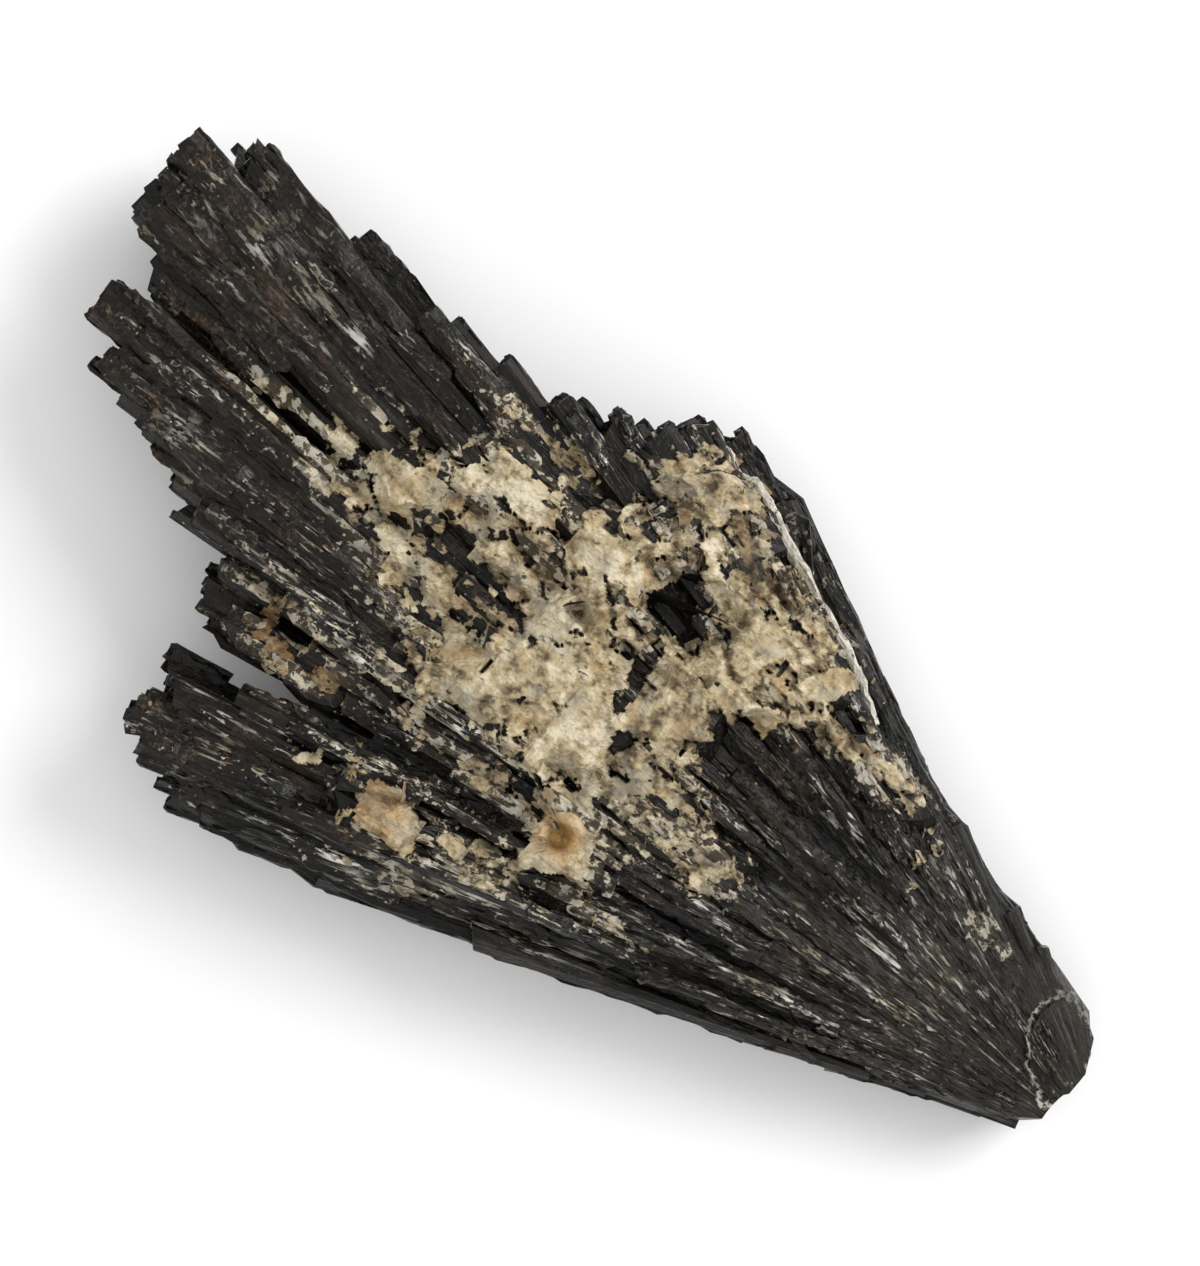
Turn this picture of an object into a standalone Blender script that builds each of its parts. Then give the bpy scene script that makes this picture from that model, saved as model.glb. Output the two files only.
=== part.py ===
"""Black kyanite fan: one grown-together spray of flat laths, with patches of pale matrix crust.

The fan lies on its flat back. It is laid out in polar form round a growth centre just beyond
its broken tip: an angle from +X, positive towards +Y, and a radius. Metres, +Z up, with the
origin under the middle of the fan.
"""

import math
import random

import bmesh
import bpy
from mathutils import Matrix, Vector

MM = 0.001
SEED = 116

# Driving dimensions
FAN_LENGTH = 64.0 * MM             # tip to the longest finger
CENTRE_TO_TIP = 4.4 * MM           # the growth centre lies this far beyond the broken tip
HALF_SPREAD = math.radians(21.3)   # the fan opens this far each side of its axis
CROWN_HEIGHT = 10.4 * MM           # thickest place, a little past half way
EDGE_DROP = 2.4 * MM               # how much lower the upper side is along both edges
EDGE_LIFT = 1.3 * MM               # how much the lower side lifts along both edges
TIP_EASE = 20.0 * MM               # both ease off over this radius towards the tip
CORE_INSET = 0.9 * MM              # the solid heart lies this far inside the laths
LATH_THICKNESS = 3.1 * MM
LATH_CHAMFER = 0.30                # share of a lath's width that each corner of its face loses
LATH_OVERLAP = 1.12                # each lath is this much wider than its place
LATH_RISE = 12.0 * MM              # a lath comes out of the heart over this length
LATH_SINK = 1.3 * MM               # and starts this far under its own line
SLIVER = 0.002 * MM                # points closer than this are one
GROWTH_CENTRE = Vector((-36.225 * MM, -1.47 * MM, 0.0))
KYANITE_BLACK = (0.035, 0.032, 0.030, 1.0)

LONGEST_REACH = FAN_LENGTH + CENTRE_TO_TIP

# Heights along the middle of the fan: share of the longest reach, share of the crown height.
UPPER_SIDE = ((0.05, 0.50), (0.12, 0.60), (0.26, 0.76), (0.42, 0.93), (0.58, 1.00),
              (0.72, 0.95), (0.85, 0.84), (1.02, 0.70))
LOWER_SIDE = ((0.05, 0.17), (0.12, 0.09), (0.22, -0.02), (0.60, -0.03), (0.74, 0.04),
              (0.88, 0.15), (1.02, 0.27))

# The heart's outline: radius in millimetres, then its two edges in degrees, steep side first.
CORE_OUTLINE = ((4.3, -20.0, 12.0), (5.4, -36.0, 19.0), (7.6, -39.0, 22.0), (10.4, -32.0, 22.0),
                (13.2, -27.0, 21.6), (17.0, -23.2, 21.2), (24.0, -21.2, 20.9), (32.0, -20.8, 20.8),
                (38.5, -20.6, 20.7), (42.5, -19.0, 20.4))
CORE_SPREADS = (0.0, 0.05, 0.22, 0.42, 0.62, 0.80, 0.95, 1.0)
RIM_PINCH = 0.30                   # the heart's rim is this share thinner, above and below
BARE_TIP = (4.2 * MM, 8.5 * MM)    # bare up to the first radius, and laths cover it from the second

# The laths that show from above, from the steep edge to the shallow one:
# angle and width in degrees, reach in millimetres, lift in millimetres over the even crown.
UPPER_LATHS = (
    (-29.4, 3.2, 11.4, -0.3), (-26.0, 3.0, 13.6, -0.1), (-22.8, 2.4, 18.6, -0.6),
    (-20.3, 2.3, 40.6, -2.3), (-18.3, 2.5, 42.2, -0.5), (-16.1, 2.5, 42.7, 0.1),
    (-13.9, 2.3, 44.4, -0.5), (-12.1, 1.9, 46.8, -0.1), (-10.6, 1.7, 49.8, -0.8),
    (-9.2, 1.6, 54.0, -0.2), (-7.5, 1.9, 65.7, -0.5), (-5.9, 1.7, 68.4, 0.3),
    (-4.5, 1.7, 68.0, 0.0), (-3.1, 1.4, 67.3, 0.4), (-1.5, 1.7, 65.3, -0.7),
    (-0.1, 1.0, 62.2, -1.7), (1.1, 1.7, 66.0, 0.2), (2.6, 1.6, 64.0, -0.3),
    (3.9, 1.4, 60.9, 0.1), (5.1, 1.4, 57.8, -0.5), (6.1, 1.2, 55.8, -0.2),
    (7.2, 1.6, 49.6, 0.2), (8.9, 1.9, 47.4, -0.3), (10.4, 1.4, 44.6, -0.2),
    (11.2, 1.4, 42.4, -2.2), (12.2, 1.5, 45.8, -1.1), (13.5, 1.6, 49.3, -0.5),
    (14.9, 1.6, 52.2, 0.1), (16.3, 1.7, 53.6, -0.3), (17.8, 1.7, 52.6, 0.2),
    (19.1, 1.5, 51.0, -0.8), (20.2, 1.4, 48.8, -1.6), (21.0, 1.1, 44.2, -2.7),
)
# Laths of the storey below, which show in the notch and at the finger ends.
MIDDLE_LATHS = (
    (-19.2, 2.6, 41.0, -4.0), (-14.6, 2.4, 44.0, -3.2), (-9.8, 1.8, 53.2, -3.0),
    (-6.6, 2.0, 66.0, -2.6), (-3.6, 1.9, 68.2, -2.4), (0.5, 1.9, 63.4, -2.9),
    (3.3, 1.8, 62.4, -2.4), (6.2, 1.8, 56.6, -2.8), (7.6, 1.8, 52.7, -2.1),
    (9.2, 1.9, 53.5, -2.6), (10.4, 1.3, 52.3, -3.2), (14.3, 2.2, 53.0, -2.9),
    (17.0, 2.2, 53.2, -2.6), (19.8, 1.9, 50.2, -3.4),
)
LOWER_LATH_COUNT = 15
SHORT_LATH_COUNT = 21
# Laths along the side walls: side and reach in millimetres, then for each storey the share
# of the wall's height and how much shorter it is, in millimetres.
EDGE_SIDES = ((-1, 38.0), (1, 43.0))
EDGE_STOREYS = ((0.30, 6.0), (0.52, 1.0), (0.72, 9.0))
EDGE_LATH_WIDTH = math.radians(2.6)
EDGE_LATH_THICKNESS = 1.8 * MM
LATH_STARTS = (5.2, 11.0, 17.0)    # radii in millimetres at which laths leave the heart, in turn

# The crust is one rough sheet over the crown, laid out in polar form.
CRUST_RADII = (17.0, 51.0)         # millimetres
CRUST_ANGLES = (-20.6, 17.6)       # degrees
CRUST_ROWS = (24, 18)              # cells along the fan and across it
CRUST_BASE = -1.1                  # its height over the even crown between the patches, millimetres
CRUST_SEAT = 0.37 * MM             # its foot is this far under the middle height
CRUST_SETBACK = 2.5 * MM           # it ends at least this far behind the ends of the laths
CRUST_ROUGHNESS = 0.24 * MM
CRUST_JITTER = 0.36                # share of a cell that its corners are moved by
# Its patches and pits, in millimetres from the growth centre: distance along the fan,
# offset across it, half length, half width, and height over the even crown.
CRUST_PATCHES = (
    (36.7, 1.0, 4.6, 4.2, 0.95), (30.9, -1.1, 2.8, 2.6, 1.25), (30.2, -5.5, 2.8, 3.4, 1.25),
    (28.0, -8.2, 2.9, 3.4, 1.10), (35.0, -10.5, 3.8, 3.0, 0.95), (38.1, -6.1, 3.0, 2.5, 0.90),
    (44.9, -5.1, 2.9, 1.9, 0.75), (48.3, -2.1, 2.7, 1.9, 0.65), (38.8, 10.8, 2.8, 2.1, 0.95),
    (30.9, 6.2, 2.6, 2.3, 0.95), (21.4, -6.8, 3.6, 1.5, 0.80), (25.1, 2.3, 2.1, 1.7, 0.55),
    (28.4, 2.1, 2.8, 2.4, 0.45), (42.4, 4.6, 2.8, 1.8, 0.55), (33.4, 10.0, 3.0, 1.6, 0.55),
)
CRUST_PITS = ((34.0, -6.3, 1.6, 1.0, -1.6), (25.6, -3.1, 3.4, 2.4, -1.3), (38.9, 5.6, 2.2, 1.1, -1.2))

# Lumps, in millimetres: distance, offset, length, width, height, and how far their foot is
# from the even crown. Three fill the notch between the two lobes, the last is the oval chip
# that closes the tip.
LUMPS = (
    (50.4, 6.6, 5.2, 2.3, 0.9, -2.4), (48.4, 8.5, 5.0, 2.6, 1.1, -2.3),
    (45.2, 8.5, 4.0, 2.2, 0.8, -1.7), (5.9, -2.4, 5.2, 3.0, 0.25, -0.1),
)
LUMP_TURNS = (6.0, 12.0, 9.0, -48.5)   # degrees
LUMP_SIDES = 9


def along(table, share):
    """Value of a table of (share, value) rows at this share, straight between rows."""
    for (left, low), (right, high) in zip(table, table[1:]):
        if share <= right:
            return low + (high - low) * max(0.0, share - left) / (right - left)
    return table[-1][1]


def edge_share(radius, angle):
    """How near this place is to an edge of the fan, from 0 to 1. The blunt tip has none."""
    return min(1.0, abs(angle / HALF_SPREAD)) * min(1.0, radius / TIP_EASE)


def upper_height(radius, angle):
    """Height of the even upper side: a crown along the fan that falls away to both edges."""
    middle = along(UPPER_SIDE, radius / LONGEST_REACH) * CROWN_HEIGHT
    return middle - EDGE_DROP * edge_share(radius, angle) ** 2


def lower_height(radius, angle):
    """Height of the even lower side: flat in the middle, lifting to the tip and the fingers."""
    middle = along(LOWER_SIDE, radius / LONGEST_REACH) * CROWN_HEIGHT
    return middle + EDGE_LIFT * edge_share(radius, angle) ** 3


def middle_height(radius, angle):
    """Height half way between the two sides."""
    return 0.5 * (upper_height(radius, angle) + lower_height(radius, angle))


def polar(radius, angle, height, sideways=0.0):
    """Point at this radius and angle, moved sideways across its own direction."""
    out = Vector((math.cos(angle), math.sin(angle), 0.0))
    across = Vector((-math.sin(angle), math.cos(angle), 0.0))
    return out * radius + across * sideways + Vector((0.0, 0.0, height))


def solid_from(name, bm):
    """Object with this mesh in flat triangles, its faces turned outwards."""
    bmesh.ops.triangulate(bm, faces=bm.faces[:])
    bmesh.ops.recalc_face_normals(bm, faces=bm.faces[:])
    mesh = bpy.data.meshes.new(name)
    bm.to_mesh(mesh)
    bm.free()
    return bpy.data.objects.new(name, mesh)


def loft(name, rings):
    """Closed solid through rings of equally many points."""
    bm = bmesh.new()
    made = [[bm.verts.new(point) for point in ring] for ring in rings]
    count = len(rings[0])
    for ring, following in zip(made, made[1:]):
        for i in range(count):
            j = (i + 1) % count
            bm.faces.new((ring[i], ring[j], following[j], following[i]))
    bm.faces.new(made[0])
    bm.faces.new(made[-1])
    return solid_from(name, bm)


def core():
    """The solid heart of the fan, a lens-shaped wedge that all the laths grow out of."""
    rings = []
    for distance, steep_edge, shallow_edge in CORE_OUTLINE:
        radius = distance * MM
        covered = (radius - BARE_TIP[0]) / (BARE_TIP[1] - BARE_TIP[0])
        inset = CORE_INSET * min(1.0, max(0.1, covered))
        upper, lower = [], []
        for spread in CORE_SPREADS:
            angle = math.radians(steep_edge + spread * (shallow_edge - steep_edge))
            high = upper_height(radius, angle) - inset
            low = lower_height(radius, angle) + inset
            pinch = RIM_PINCH * (high - low) if spread in (0.0, 1.0) else 0.0
            upper.append(polar(radius, angle, high - pinch))
            lower.append(polar(radius, angle, low + pinch))
        rings.append(upper + lower[::-1])
    return loft("kyanite_fan", rings)


def lath(name, angle, width, start, reach, face, back, slant, rng):
    """One flat crystal: a six-sided bar that widens along the fan and ends in a slanted break.

    width is in radians. face and back are functions that give a height at a radius, and the
    two corners of the face are chamfered. It looks down where the face is the lower of the two.
    """
    rings = []
    for share in (0.0, 0.45, 0.8, 1.0):
        radius = start + share * (reach - start)
        half = max(0.5 * width * radius, 0.30 * MM)
        shown, hidden = face(radius), back(radius)
        chamfer = 2 * half * LATH_CHAMFER * rng.uniform(0.6, 1.2)
        drop = min(0.45 * abs(shown - hidden), chamfer * 1.1)
        drop = math.copysign(drop, shown - hidden)
        lean = rng.uniform(-0.12, 0.12) * half
        cut = slant if share == 1.0 else 0.0
        profile = ((-half, hidden), (half, hidden), (half, shown - drop),
                   (half - chamfer, shown), (-half + chamfer, shown + lean), (-half, shown - drop))
        ring = []
        for side, height in profile:
            undercut = 0.25 * abs(cut) * half * (height - hidden) / (shown - hidden)
            ring.append(polar(radius + cut * side - undercut, angle, height, side))
        rings.append(ring)
    return loft(name, rings)


def storey(name, rows, rng):
    """The laths of one storey that is laid out by hand."""
    made = []
    for number, (degrees, width, reach, lift) in enumerate(rows):
        angle = math.radians(degrees)
        start = min(LATH_STARTS[number % len(LATH_STARTS)], 0.45 * reach) * MM

        def face(radius):
            rise = min(1.0, (radius - start) / LATH_RISE)
            return upper_height(radius, angle) + lift * MM * rise - LATH_SINK * (1 - rise)

        def back(radius):
            return min(middle_height(radius, angle) - 0.4 * MM, face(radius) - 0.6 * LATH_THICKNESS)

        made.append(lath(f"{name}_lath_{number:02d}", angle, math.radians(width) * LATH_OVERLAP,
                         start, reach * MM, face, back, rng.uniform(-0.7, 0.7), rng))
    return made


def reach_at(degrees):
    """How far the nearest upper lath reaches."""
    return min(UPPER_LATHS, key=lambda row: abs(row[0] - degrees))[2] * MM


def lower_laths(rng):
    """The storey of laths that forms the ridged underside, every other one standing proud."""
    made = []
    pitch = 2 * math.degrees(HALF_SPREAD) / LOWER_LATH_COUNT
    for number in range(LOWER_LATH_COUNT):
        degrees = -math.degrees(HALF_SPREAD) + (number + rng.uniform(0.35, 0.65)) * pitch
        angle = math.radians(degrees)
        sink = (rng.uniform(-0.2, 0.1) if number % 2 else rng.uniform(0.3, 0.7)) * MM

        def face(radius):
            return lower_height(radius, angle) + sink

        def back(radius):
            return middle_height(radius, angle) + 0.5 * MM

        made.append(lath(f"lower_lath_{number:02d}", angle, math.radians(pitch) * LATH_OVERLAP,
                         LATH_STARTS[number % 2] * MM,
                         reach_at(degrees) - rng.uniform(1.5, 6.5) * MM,
                         face, back, rng.uniform(-0.6, 0.6), rng))
    return made


def short_laths(rng):
    """Broken laths that lie on the crown and end in ledges."""
    made = []
    for number in range(SHORT_LATH_COUNT):
        share = (number + rng.uniform(0.1, 0.9)) / SHORT_LATH_COUNT
        degrees = math.degrees(HALF_SPREAD) * (2 * share - 1) * 0.94
        angle = math.radians(degrees)
        limit = reach_at(degrees)
        start = rng.uniform(9.0 * MM, 0.45 * limit)
        reach = min(limit - rng.uniform(2.5, 9.0) * MM, start + rng.uniform(13.0, 30.0) * MM)
        lift = rng.uniform(0.25, 0.8) * MM

        def face(radius):
            rise = min(1.0, 1.6 * (radius - start) / LATH_RISE)
            return upper_height(radius, angle) + lift * rise - LATH_SINK * (1 - rise)

        def back(radius):
            return face(radius) - LATH_THICKNESS

        made.append(lath(f"short_lath_{number:02d}", angle, math.radians(rng.uniform(0.9, 1.7)),
                         start, reach, face, back, rng.uniform(-0.8, 0.8), rng))
    return made


def edge_laths(rng):
    """Laths set along both sides of the fan, which give the side walls their layers."""
    made = []
    for side, reach in EDGE_SIDES:
        for number, (share, shorten) in enumerate(EDGE_STOREYS):
            angle = side * (HALF_SPREAD + math.radians(rng.uniform(-0.7, 0.5)))

            def middle(radius):
                low, high = lower_height(radius, angle), upper_height(radius, angle)
                return low + share * (high - low)

            made.append(lath(f"edge_lath_{side:+d}_{number}", angle, EDGE_LATH_WIDTH,
                             (7.0 + 3 * number) * MM, (reach - shorten) * MM,
                             lambda radius: middle(radius) + 0.5 * EDGE_LATH_THICKNESS,
                             lambda radius: middle(radius) - 0.5 * EDGE_LATH_THICKNESS,
                             rng.uniform(-0.5, 0.5), rng))
    return made


def crust_rise(distance, offset):
    """Height of the crust over the even crown at this place, all in millimetres."""
    rise = CRUST_BASE
    for x, y, half_length, half_width, height in CRUST_PATCHES:
        if math.hypot((distance - x) / half_length, (offset - y) / half_width) < 1.0:
            rise = max(rise, height)
    for x, y, half_length, half_width, height in CRUST_PITS:
        if math.hypot((distance - x) / half_length, (offset - y) / half_width) < 1.0:
            rise = height
    return rise


def crust(rng):
    """A rough sheet over the crown: it comes up through the laths only in its patches."""
    rows, columns = CRUST_ROWS
    bm = bmesh.new()
    top, bottom = [], []
    for row in range(rows + 1):
        top.append([])
        bottom.append([])
        for column in range(columns + 1):
            inside = 0 < row < rows and 0 < column < columns
            jitter = CRUST_JITTER if inside else 0.0
            along_share = (row + rng.uniform(-jitter, jitter)) / rows
            across_share = (column + rng.uniform(-jitter, jitter)) / columns
            degrees = CRUST_ANGLES[0] + across_share * (CRUST_ANGLES[1] - CRUST_ANGLES[0])
            angle = math.radians(degrees)
            nearest, farthest = CRUST_RADII[0] * MM, CRUST_RADII[1] * MM
            farthest = min(farthest, reach_at(degrees) - CRUST_SETBACK)
            radius = nearest + along_share * (farthest - nearest)
            rise = crust_rise(radius * math.cos(angle) / MM, radius * math.sin(angle) / MM)
            height = upper_height(radius, angle) + rise * MM
            height += rng.uniform(-1.0, 1.0) * CRUST_ROUGHNESS
            top[-1].append(bm.verts.new(polar(radius, angle, height)))
            foot = middle_height(radius, angle) - CRUST_SEAT
            bottom[-1].append(bm.verts.new(polar(radius, angle, foot)))
    for row in range(rows):
        for column in range(columns):
            for sheet in (top, bottom):
                bm.faces.new((sheet[row][column], sheet[row + 1][column],
                              sheet[row + 1][column + 1], sheet[row][column + 1]))
    border = [(row, 0) for row in range(rows)] + [(rows, column) for column in range(columns)]
    border += [(row, columns) for row in range(rows, 0, -1)]
    border += [(0, column) for column in range(columns, 0, -1)]
    for (row, column), (next_row, next_column) in zip(border, border[1:] + border[:1]):
        bm.faces.new((top[row][column], top[next_row][next_column],
                      bottom[next_row][next_column], bottom[row][column]))
    return solid_from("crust", bm)


def lump(name, centre, size, turn, height, foot, rng):
    """A low many-sided lump that follows the crown."""
    phase = rng.uniform(0.0, 2 * math.pi)
    turned = Matrix.Rotation(turn, 3, "Z")
    ground = upper_height(centre.length, math.atan2(centre.y, centre.x)) + foot
    rings = []
    for share, rise in ((0.9, -1.5 * MM), (1.0, 0.35 * height), (0.66, height)):
        ring = []
        for side in range(LUMP_SIDES):
            bearing = 2 * math.pi * side / LUMP_SIDES
            wobble = share * (1.0 + 0.14 * math.sin(2 * bearing + phase) + rng.uniform(-0.06, 0.06))
            point = turned @ Vector((0.5 * size[0] * math.cos(bearing),
                                     0.5 * size[1] * math.sin(bearing), 0.0)) * wobble + centre
            point.z = ground + rise + rng.uniform(-0.14, 0.14) * height
            ring.append(point)
        rings.append(ring)
    return loft(name, rings)


def lumps(rng):
    """The brown lumps in the notch, and the oval chip on the broken tip."""
    made = []
    for number, (row, turn) in enumerate(zip(LUMPS, LUMP_TURNS)):
        distance, offset, length, width, height, foot = (value * MM for value in row)
        made.append(lump(f"lump_{number}", Vector((distance, offset, 0.0)), (length, width),
                         math.radians(turn), height, foot, rng))
    return made


def kyanite_material():
    """Near-black kyanite with a satin shine."""
    material = bpy.data.materials.new("black_kyanite")
    material.use_nodes = True
    shader = material.node_tree.nodes["Principled BSDF"]
    shader.inputs["Base Color"].default_value = KYANITE_BLACK
    shader.inputs["Roughness"].default_value = 0.45
    shader.inputs["Metallic"].default_value = 0.0
    material.diffuse_color = KYANITE_BLACK
    return material


def as_helper(obj):
    """Marks a solid that only takes part in a Boolean."""
    obj.hide_render = True
    obj.display_type = "WIRE"


def floor_cutter():
    """A block whose top is the plane that the fan rests on."""
    depth = 20 * MM
    bpy.ops.mesh.primitive_cube_add(size=1.0, location=(0.5 * LONGEST_REACH, 0.0, -0.5 * depth))
    cutter = bpy.context.active_object
    cutter.name = "floor_cutter"
    cutter.scale = (2 * LONGEST_REACH, 2 * LONGEST_REACH, depth)
    as_helper(cutter)
    return cutter


def build():
    """Clears the scene, then grows the laths and the crust together into one solid."""
    for obj in list(bpy.data.objects):
        bpy.data.objects.remove(obj)
    rng = random.Random(SEED)
    place = bpy.data.objects.new("growth_centre", None)
    place.location = GROWTH_CENTRE
    bpy.context.scene.collection.objects.link(place)

    fan = core()
    bpy.context.scene.collection.objects.link(fan)
    pieces = storey("upper", UPPER_LATHS, rng) + storey("middle", MIDDLE_LATHS, rng)
    pieces += lower_laths(rng) + short_laths(rng) + edge_laths(rng)
    pieces += [crust(rng)] + lumps(rng)
    helpers = bpy.data.collections.new("laths and crust")
    bpy.context.scene.collection.children.link(helpers)
    for piece in pieces:
        helpers.objects.link(piece)
        as_helper(piece)
    cutter = floor_cutter()
    for obj in [fan, cutter] + pieces:
        obj.parent = place

    grown = fan.modifiers.new("grown together", "BOOLEAN")
    grown.operation = "UNION"
    grown.solver = "MANIFOLD"
    grown.operand_type = "COLLECTION"
    grown.collection = helpers
    back = fan.modifiers.new("flat back", "BOOLEAN")
    back.operation = "DIFFERENCE"
    back.solver = "MANIFOLD"
    back.object = cutter
    tidied = fan.modifiers.new("no slivers", "WELD")
    tidied.merge_threshold = SLIVER
    fan.data.materials.append(kyanite_material())


build()
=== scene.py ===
import math
import random

import bpy
import numpy as np
from mathutils import Matrix, Vector, noise
from mathutils.bvhtree import BVHTree


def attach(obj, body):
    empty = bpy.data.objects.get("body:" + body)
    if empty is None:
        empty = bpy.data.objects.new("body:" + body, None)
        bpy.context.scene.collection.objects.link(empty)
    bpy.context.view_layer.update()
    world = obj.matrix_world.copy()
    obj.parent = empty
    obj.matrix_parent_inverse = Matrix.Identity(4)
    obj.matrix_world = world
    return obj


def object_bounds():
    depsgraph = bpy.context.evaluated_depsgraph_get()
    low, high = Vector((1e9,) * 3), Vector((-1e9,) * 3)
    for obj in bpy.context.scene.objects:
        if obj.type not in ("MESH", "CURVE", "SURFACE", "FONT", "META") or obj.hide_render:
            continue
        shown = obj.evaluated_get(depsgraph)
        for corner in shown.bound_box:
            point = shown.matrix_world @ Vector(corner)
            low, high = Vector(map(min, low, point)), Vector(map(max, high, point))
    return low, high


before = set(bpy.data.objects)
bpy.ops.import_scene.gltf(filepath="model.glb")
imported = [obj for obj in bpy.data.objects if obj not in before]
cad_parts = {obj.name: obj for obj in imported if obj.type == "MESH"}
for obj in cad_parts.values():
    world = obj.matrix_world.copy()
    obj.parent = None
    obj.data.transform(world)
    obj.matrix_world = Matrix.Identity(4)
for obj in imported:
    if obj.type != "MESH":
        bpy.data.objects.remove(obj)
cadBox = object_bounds()
mm = 0.001
dice = random.Random(7)
noise.seed_set(7)  # without it noise_vector differs from run to run

# Where all blades point: the distances and offsets below are counted from here.
growthCentre = Vector((-36.225 * mm, -1.47 * mm, 0.0))
fanMiddle = 38.0  # millimetres from the growth centre, where arcs are measured
rayStart = 0.05  # metres over or under the fan where rays start
highest = cadBox[1][2] + 0.2 * mm  # how high blades and crust may stand
fanNode = bpy.data.objects["kyanite_fan"]
print("frame loaded")


def deselectAll():
    for obj in list(bpy.context.selected_objects):
        obj.select_set(False)


def makeActive(obj):
    deselectAll()
    obj.select_set(True)
    bpy.context.view_layer.objects.active = obj


def coordsOf(mesh):
    flat = np.empty(len(mesh.vertices) * 3)
    mesh.vertices.foreach_get("co", flat)
    return flat.reshape(-1, 3)


def setCoords(mesh, coords):
    mesh.vertices.foreach_set("co", np.asarray(coords, dtype=np.float32).ravel())
    mesh.update()


def setAttribute(mesh, name, values):
    layer = mesh.attributes.get(name) or mesh.attributes.new(name, "FLOAT", "POINT")
    layer.data.foreach_set("value", np.asarray(values, dtype=np.float32))


def joinAs(name, objects):
    makeActive(objects[0])
    for obj in objects:
        obj.select_set(True)
    bpy.ops.object.join()
    joined = bpy.context.view_layer.objects.active
    joined.name = name
    joined.data.name = name
    return joined


def surfaceTree(obj):
    mesh = obj.data
    mesh.calc_loop_triangles()
    corners = [tuple(tri.vertices) for tri in mesh.loop_triangles]
    return BVHTree.FromPolygons([v.co.copy() for v in mesh.vertices], corners)


def dropOnto(start):
    # Where a line straight down from start meets the fan, or None.
    return fanTree.ray_cast(start, Vector((0.0, 0.0, -1.0)))[0]


def fromCentre(x, y):
    # Millimetres along the fan and across it, from the growth centre.
    return (x - growthCentre.x) / mm, (y - growthCentre.y) / mm


def outward(angle):
    return Vector((math.cos(angle), math.sin(angle), 0.0))


def sideways(angle):
    return Vector((-math.sin(angle), math.cos(angle), 0.0))


def placeAt(angle, radius, height):
    return growthCentre + outward(angle) * radius + Vector((0.0, 0.0, height))


def smooth(share):
    share = min(1.0, max(0.0, share))
    return share * share * (3 - 2 * share)


def blurred(field, passes):
    for _ in range(passes):
        padded = np.pad(field, 1, mode="edge")
        field = (padded[:-2, 1:-1] + padded[2:, 1:-1] + padded[1:-1, :-2] + padded[1:-1, 2:]
                 + 2 * padded[1:-1, 1:-1]) / 6
    return field


# How far the upper side stands over or under the ground around it. It sets the painted shade in
# hollows and the painted highlight on ridges.
reliefLook = {
    "size": (68.0, 35.0),  # millimetres that the ground is long and wide
    "cell": 0.25,  # millimetres
    "passes": 40,  # blurs the ground over about a millimetre each way
    "deep": 0.55,  # millimetres under the ground that count as a full hollow
    "high": 0.45,  # millimetres over it that count as a full ridge
    "from": 3.0,  # millimetres up where hollows and crumbs begin
}


def makeGround(look):
    length, width = look["size"]
    heights = np.zeros((int(width / look["cell"]), int(length / look["cell"])))
    known = np.zeros(heights.shape)
    for row, column in np.ndindex(heights.shape):
        x, y = column * look["cell"] - length / 2, row * look["cell"] - width / 2
        hit = dropOnto(Vector((x * mm, y * mm, rayStart)))
        if hit is not None:
            heights[row, column] = hit.z
            known[row, column] = 1.0
    return blurred(heights, look["passes"]) / np.maximum(blurred(known, look["passes"]), 1e-3)


fanTree = surfaceTree(fanNode)
ground = makeGround(reliefLook)


def reliefAt(x, y, z):
    # Metres over the ground. It is under 0 in a hollow.
    length, width = reliefLook["size"]
    row = int((y / mm + width / 2) / reliefLook["cell"] + 0.5)
    column = int((x / mm + length / 2) / reliefLook["cell"] + 0.5)
    return z - ground[min(ground.shape[0] - 1, max(0, row)), min(ground.shape[1] - 1, max(0, column))]


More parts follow.
